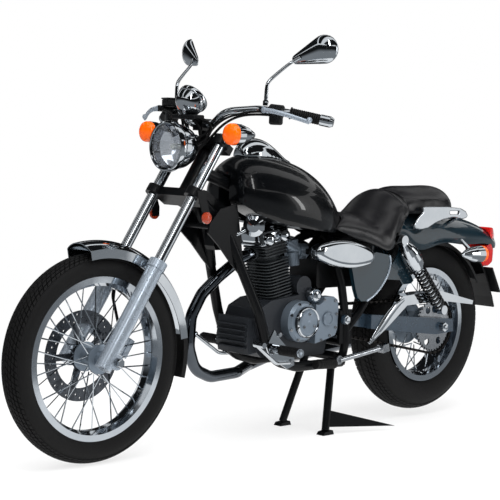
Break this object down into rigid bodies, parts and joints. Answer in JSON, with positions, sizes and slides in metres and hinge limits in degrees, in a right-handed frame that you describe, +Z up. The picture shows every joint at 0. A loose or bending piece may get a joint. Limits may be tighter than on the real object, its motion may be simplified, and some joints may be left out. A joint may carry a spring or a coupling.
{
  "type": "cruiser motorcycle",
  "caption": "Single-cylinder cruiser motorcycle with raked fork, teardrop tank, stepped saddle, spoked wheels, swept bar and a centre stand, standing on that stand.",
  "frame": {"origin": "centre of the footprint at floor level", "axes": "+X forward, +Y to the rider's left, +Z up"},
  "size_m": [2.1836, 0.782, 1.2836],
  "materials": {
    "black_paint": "gloss",
    "frame_paint": "satin",
    "swing_arm_paint": "satin",
    "chrome": "polished",
    "case_alloy": "satin",
    "fork_alloy": "satin",
    "engine_black": "satin",
    "steel": "brushed",
    "tyre_rubber": "matte",
    "rubber": "matte",
    "seat_vinyl": "satin",
    "black_plastic": "satin",
    "amber_lens": "gloss",
    "red_lens": "gloss",
    "clear_glass": "clear",
    "mirror_silver": "polished",
    "plate_white": "satin"
  },
  "bodies": {
    "chassis": {"air_box": "black_plastic", "air_covers": "chrome", "carburettor": "case_alloy", "chain_guard": "chrome", "crankcase": "engine_black", "cylinder": "engine_black", "cylinder_head": "case_alloy", "drive_chain": "steel", "engine_covers": "case_alloy", "exhaust": "chrome", "foot_controls": "frame_paint", "foot_pegs": "rubber", "frame": "frame_paint", "fuel_tank": "black_paint", "grab_rails": "chrome", "horn": "chrome", "mud_flap": "black_plastic", "number_plate": "plate_white", "pillion_seat": "seat_vinyl", "rear_axle": "steel", "rear_fender": "black_paint", "rear_indicators": "chrome", "rear_lenses": "amber_lens", "rider_seat": "seat_vinyl", "shock_absorbers": "chrome", "shock_springs": "chrome", "side_covers": "black_paint", "swing_arm": "swing_arm_paint", "tail_lamp": "red_lens", "tank_console": "chrome"},
    "steering": {"fork_clamps": "engine_black", "fork_tubes": "chrome", "fork_sliders": "fork_alloy", "front_axle": "steel", "handlebar": "chrome", "grips": "rubber", "hand_controls": "black_plastic", "mirrors": "chrome", "mirror_glass": "mirror_silver", "headlamp": "chrome", "headlamp_glass": "clear_glass", "front_indicators": "chrome", "front_lenses": "amber_lens", "speedometer": "chrome", "front_fender": "chrome", "fender_flap": "rubber", "brake_caliper": "fork_alloy", "brake_hose": "rubber"},
    "front_wheel": {"front_tyre": "tyre_rubber", "front_rim": "chrome", "front_hub": "case_alloy", "brake_disc": "steel"},
    "rear_wheel": {"rear_tyre": "tyre_rubber", "rear_rim": "chrome", "rear_hub": "case_alloy", "rear_sprocket": "steel"},
    "centre_stand": {"centre_stand": "frame_paint"},
    "side_stand": {"side_stand": "steel"}
  },
  "joints": [
    {"name": "steering_turn", "type": "hinge", "parent": "chassis", "child": "steering", "pos_m": [0.7596, 0, 0.2948], "axis": [-0.549, 0, 0.8358], "range_deg": [-38, 38]},
    {"name": "front_wheel_spin", "type": "hinge", "parent": "steering", "child": "front_wheel", "pos_m": [0.7822, 0, 0.3096], "axis": [0, 1, 0], "continuous": true},
    {"name": "rear_wheel_spin", "type": "hinge", "parent": "chassis", "child": "rear_wheel", "pos_m": [-0.6828, 0, 0.327], "axis": [0, 1, 0], "continuous": true},
    {"name": "centre_stand_fold", "type": "hinge", "parent": "chassis", "child": "centre_stand", "pos_m": [-0.1858, 0, 0.252], "axis": [0, 1, 0], "range_deg": [0, 90]},
    {"name": "side_stand_fold", "type": "hinge", "parent": "chassis", "child": "side_stand", "pos_m": [-0.1418, 0.126, 0.25], "axis": [0, -1, 0], "range_deg": [0, 95]}
  ]
}
